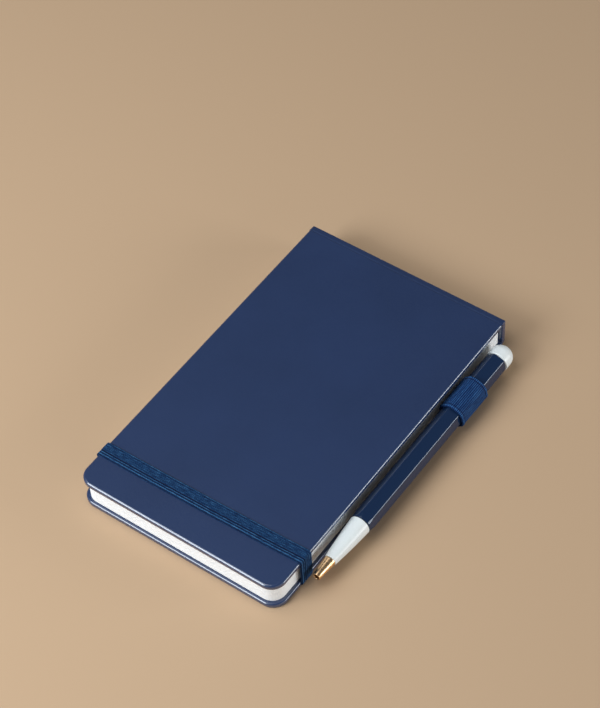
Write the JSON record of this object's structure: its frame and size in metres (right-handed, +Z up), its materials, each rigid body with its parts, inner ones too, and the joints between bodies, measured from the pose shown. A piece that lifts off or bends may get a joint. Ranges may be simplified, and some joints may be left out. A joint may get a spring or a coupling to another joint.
{
  "type": "pocket notepad with pen",
  "caption": "Slim hardcover pocket notepad bound along its short edge, with elastic closure band, pen loop and hexagonal twist pen.",
  "frame": {"origin": "centre of the back cover's underside, which rests on the table", "axes": "+Z up from the back cover to the front cover, +Y to the spine, +X to the side that carries the pen"},
  "size_m": [0.1014, 0.15, 0.0143],
  "materials": {
    "covering": "navy coated covering paper, satin, very fine grain",
    "board": "grey board",
    "paper": "cream writing paper",
    "endpaper": "smooth cream endpaper",
    "elastic": "woven elastic, blue, matte with ribs",
    "thread": "undyed cotton",
    "lacquer": "glossy dark navy lacquer",
    "white_plastic": "cool off-white, satin gloss",
    "refill_plastic": "translucent white",
    "brass": "polished brass",
    "steel": "bright steel"
  },
  "bodies": {
    "back_case": {"back_cover_wrap": "covering", "back_board": "board", "spine_board": "board", "back_endpaper": "endpaper", "pocket_gusset": "endpaper", "pocket_panel": "endpaper", "section_2": "paper", "section_3": "paper", "section_4": "paper", "section_5": "paper", "section_6": "paper", "sewing_thread_1": "thread", "sewing_thread_2": "thread", "sewing_thread_3": "thread", "sewing_thread_4": "thread", "spine_lining": "thread", "pen_loop": "elastic", "pen_loop_tab": "endpaper", "band_end_left": "elastic", "band_end_right": "elastic"},
    "front_cover": {"front_cover_wrap": "covering", "front_board": "board", "front_pastedown": "endpaper"},
    "flyleaf": {"flyleaf": "endpaper"},
    "first_section": {"section_1": "paper"},
    "closure_band": {"closure_band": "elastic"},
    "pen": {"pen_barrel": "lacquer", "pen_cone": "white_plastic", "pen_nozzle": "brass", "cam_sleeve": "steel", "refill_spring": "steel"},
    "twist_knob": {"pen_knob": "white_plastic", "twist_shaft": "brass"},
    "refill": {"refill_tip": "steel", "refill_tube": "refill_plastic", "refill_pusher": "brass"}
  },
  "joints": [
    {"name": "front_cover_hinge", "type": "hinge", "parent": "back_case", "child": "front_cover", "pos_m": [0, 0.0723, 0.0136], "axis": [-1, 0, 0], "range_deg": [0, 178]},
    {"name": "flyleaf_turn", "type": "hinge", "parent": "back_case", "child": "flyleaf", "pos_m": [0, 0.0723, 0.0136], "axis": [-1, 0, 0], "range_deg": [0, 175]},
    {"name": "first_section_turn", "type": "hinge", "parent": "back_case", "child": "first_section", "pos_m": [0, 0.0723, 0.0136], "axis": [-1, 0, 0], "range_deg": [0, 172]},
    {"name": "band_flip", "type": "hinge", "parent": "back_case", "child": "closure_band", "pos_m": [0, -0.0582, 0], "axis": [1, 0, 0], "range_deg": [0, 180], "deforming": ["closure_band"]},
    {"name": "pen_slide", "type": "slide", "parent": "back_case", "child": "pen", "axis": [0, 1, 0], "range_m": [0, 0.12]},
    {"name": "knob_twist", "type": "hinge", "parent": "pen", "child": "twist_knob", "pos_m": [0.0499, 0.0683, 0.006], "axis": [0, 1, 0], "range_deg": [0, 120]},
    {"name": "refill_slide", "type": "slide", "parent": "pen", "child": "refill", "axis": [0, -1, 0], "range_m": [0, 0.0045], "deforming": ["refill_spring"]}
  ],
  "couplings": [
    {"joint": "flyleaf_turn", "follows": "front_cover_hinge", "ratio": 0.98},
    {"joint": "first_section_turn", "follows": "front_cover_hinge", "ratio": 0.96},
    {"joint": "knob_twist", "follows": "refill_slide", "rad_per_m": 465.42}
  ]
}
